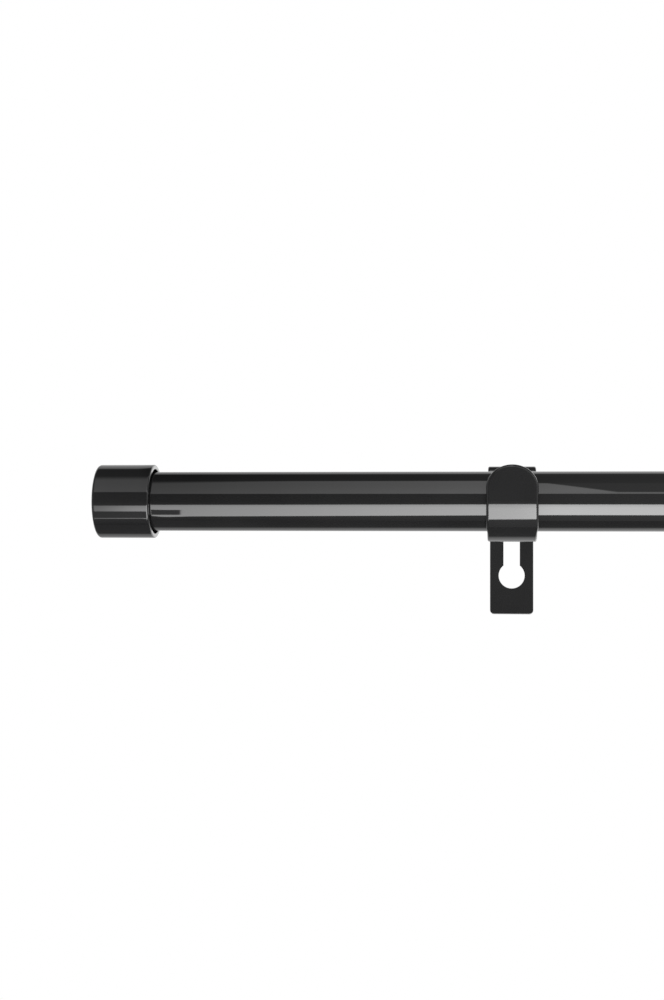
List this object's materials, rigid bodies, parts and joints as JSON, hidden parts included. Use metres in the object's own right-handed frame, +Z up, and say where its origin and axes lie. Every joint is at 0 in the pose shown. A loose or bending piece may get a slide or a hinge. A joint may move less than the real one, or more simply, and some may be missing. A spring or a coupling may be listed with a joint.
{
  "type": "extendable curtain rod",
  "caption": "Telescopic curtain rod: a thin tube slides out of a wider one, with flat-ended caps, resting in folded strap wall brackets with keyholes.",
  "frame": {"origin": "on the wall face of the left bracket, on that bracket's centre line, at the height of the rod's axis", "axes": "+X along the rod to the right, towards the end that slides out; +Y into the wall; +Z up"},
  "size_m": [0.7, 0.0882, 0.0525],
  "materials": {
    "rod": "gloss black coat",
    "cap": "gloss black coat",
    "bracket": "gloss black coat",
    "moulding": "moulded black",
    "pad": "soft black"
  },
  "bodies": {
    "outer_rod": {"outer_tube": "rod", "mouth_bush": "moulding", "left_bracket": "bracket", "left_cradle_pad": "pad"},
    "left_end_cap": {"left_cap": "cap", "left_cap_insert": "moulding"},
    "inner_rod": {"inner_tube": "rod", "tail_glide": "moulding", "right_bracket": "bracket", "right_cradle_pad": "pad"},
    "right_end_cap": {"right_cap": "cap", "right_cap_insert": "moulding"}
  },
  "joints": [
    {"name": "rod_extension", "type": "slide", "parent": "outer_rod", "child": "inner_rod", "axis": [1, 0, 0], "range_m": [0, 0.5]},
    {"name": "left_cap_pull", "type": "slide", "parent": "outer_rod", "child": "left_end_cap", "axis": [-1, 0, 0], "range_m": [0, 0.025]},
    {"name": "right_cap_pull", "type": "slide", "parent": "inner_rod", "child": "right_end_cap", "axis": [1, 0, 0], "range_m": [0, 0.025]}
  ]
}
